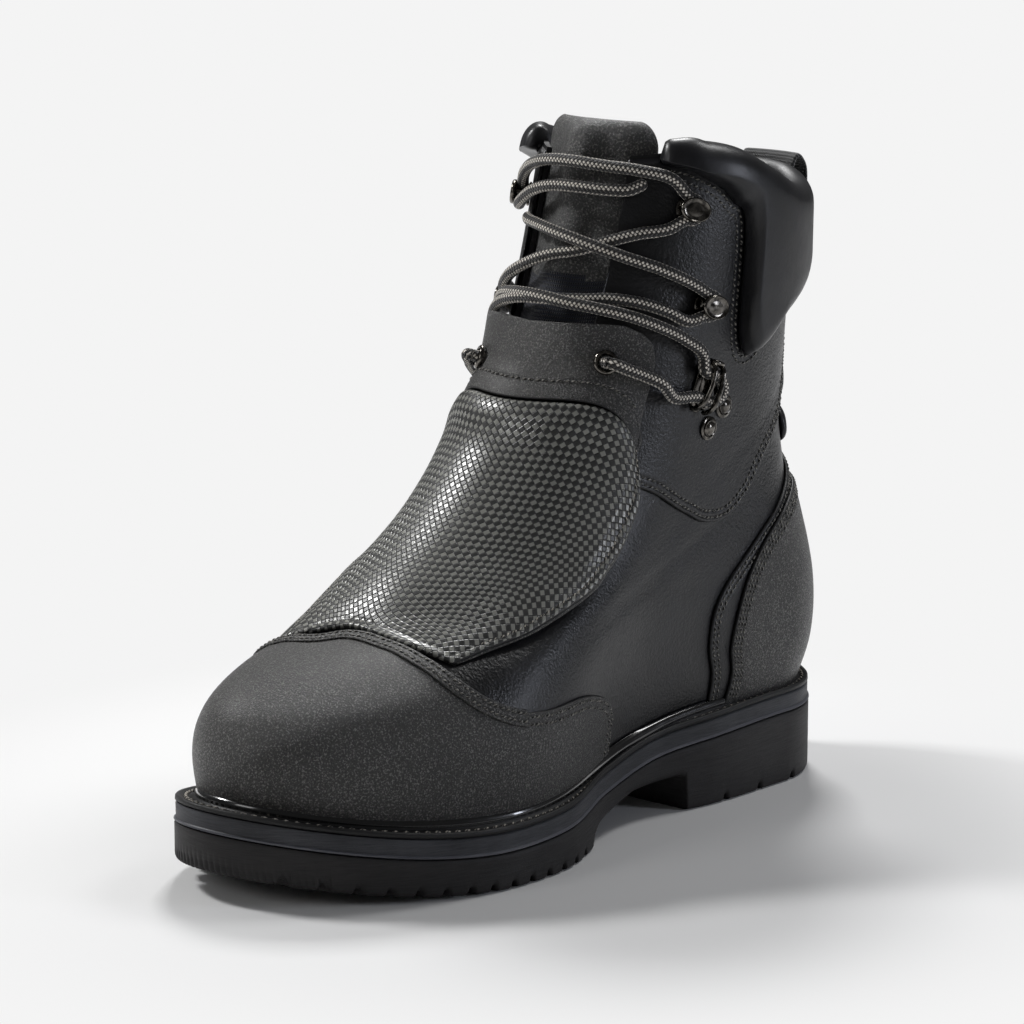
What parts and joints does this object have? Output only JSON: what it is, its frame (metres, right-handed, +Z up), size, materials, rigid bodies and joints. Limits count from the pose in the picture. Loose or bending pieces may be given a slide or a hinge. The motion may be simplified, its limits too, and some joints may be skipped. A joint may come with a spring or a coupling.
{
  "type": "metatarsal guard boot",
  "caption": "Laced high work boot for the left foot, with a moulded guard over the instep, a padded collar, a stitched welt and a thick heeled sole.",
  "frame": {"origin": "on the floor, under the middle of the boot's bounding box", "axes": "+X to the outer side of the left foot, +Y towards the heel with the toe to -Y, +Z up; the sole rests on z = 0"},
  "size_m": [0.1186, 0.3148, 0.2687],
  "materials": {
    "outsole_rubber": "moulded near-black rubber with a brushed side",
    "midsole_rubber": "slate grey rubber, satin",
    "welt_rubber": "black rubber, semi-gloss on the bead",
    "insole_felt": "felted fabric",
    "black_leather": "smooth full-grain leather, satin",
    "abrasion_leather": "coated abrasion leather with a fine sparkle, matte",
    "pad_leather": "soft padded leather, satin",
    "webbing": "ribbed polyester webbing",
    "shield_composite": "moulded composite with a woven-look surface",
    "dark_nickel": "dark nickel plate, polished",
    "lace_cord": "round braided polyester with pale flecks"
  },
  "bodies": {
    "root": {"outsole": "outsole_rubber", "midsole": "midsole_rubber", "welt": "welt_rubber", "insole": "insole_felt", "upper": "black_leather", "toe_cap": "abrasion_leather", "counter": "abrasion_leather", "counter_band": "black_leather", "eyestay_outer": "black_leather", "eyestay_inner": "black_leather", "collar_pad": "pad_leather", "back_roll_upper": "pad_leather", "back_roll_lower": "pad_leather", "pull_loop": "webbing", "tongue": "abrasion_leather", "guard_shield": "shield_composite", "guard_flap": "abrasion_leather", "hook_outer_1": "dark_nickel", "hook_outer_2": "dark_nickel", "hook_inner_1": "dark_nickel", "hook_inner_2": "dark_nickel", "lock_hook_outer": "dark_nickel", "lock_hook_inner": "dark_nickel", "rivet_outer_1": "dark_nickel", "rivet_outer_2": "dark_nickel", "rivet_inner_1": "dark_nickel", "rivet_inner_2": "dark_nickel", "guard_eyelet_outer": "dark_nickel", "guard_eyelet_inner": "dark_nickel", "lace": "lace_cord"}
  },
  "joints": []
}
